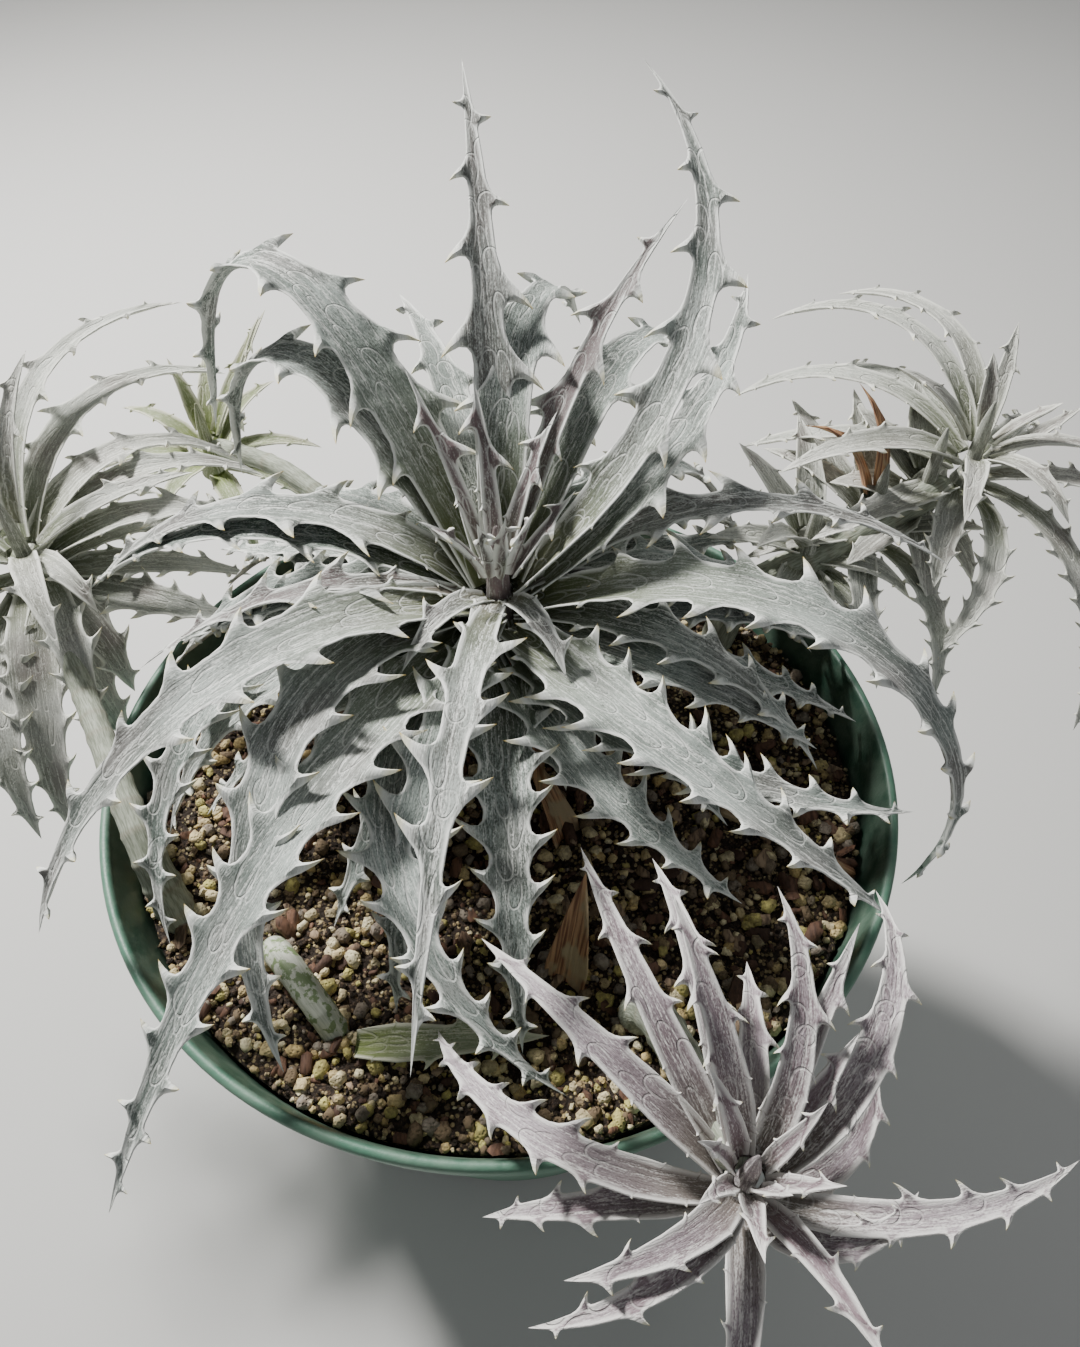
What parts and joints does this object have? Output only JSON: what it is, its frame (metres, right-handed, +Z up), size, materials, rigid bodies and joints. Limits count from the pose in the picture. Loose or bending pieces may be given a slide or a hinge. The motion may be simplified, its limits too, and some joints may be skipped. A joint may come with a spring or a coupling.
{
  "type": "dyckia bromeliad clump in a pot",
  "caption": "Clump of spiny silver-leaved dyckia rosettes with hooked marginal teeth, growing in a round green nursery pot of gritty mix.",
  "frame": {"origin": "middle of the underside of the pot's floor", "axes": "+Z up, -Y towards the front of the clump, where the mix is in sight"},
  "size_m": [0.4963, 0.4039, 0.3514],
  "materials": {
    "pot_plastic": "satin",
    "mix": "matte",
    "silver_leaf": "matte",
    "mauve_leaf": "matte",
    "pale_leaf": "matte",
    "green_leaf": "matte",
    "dry_leaf": "matte",
    "runner": "satin"
  },
  "bodies": {
    "root": {"pot": "pot_plastic", "potting_mix": "mix", "main_rosette": "silver_leaf", "lower_right_rosette": "mauve_leaf", "upper_right_rosette": "pale_leaf", "left_rosette": "pale_leaf", "back_left_rosette": "green_leaf", "dry_leaf_middle": "dry_leaf", "dry_leaf_front": "dry_leaf", "dry_leaf_back": "dry_leaf", "fallen_leaf": "pale_leaf", "dry_stalk": "dry_leaf", "runner": "runner"}
  },
  "joints": []
}
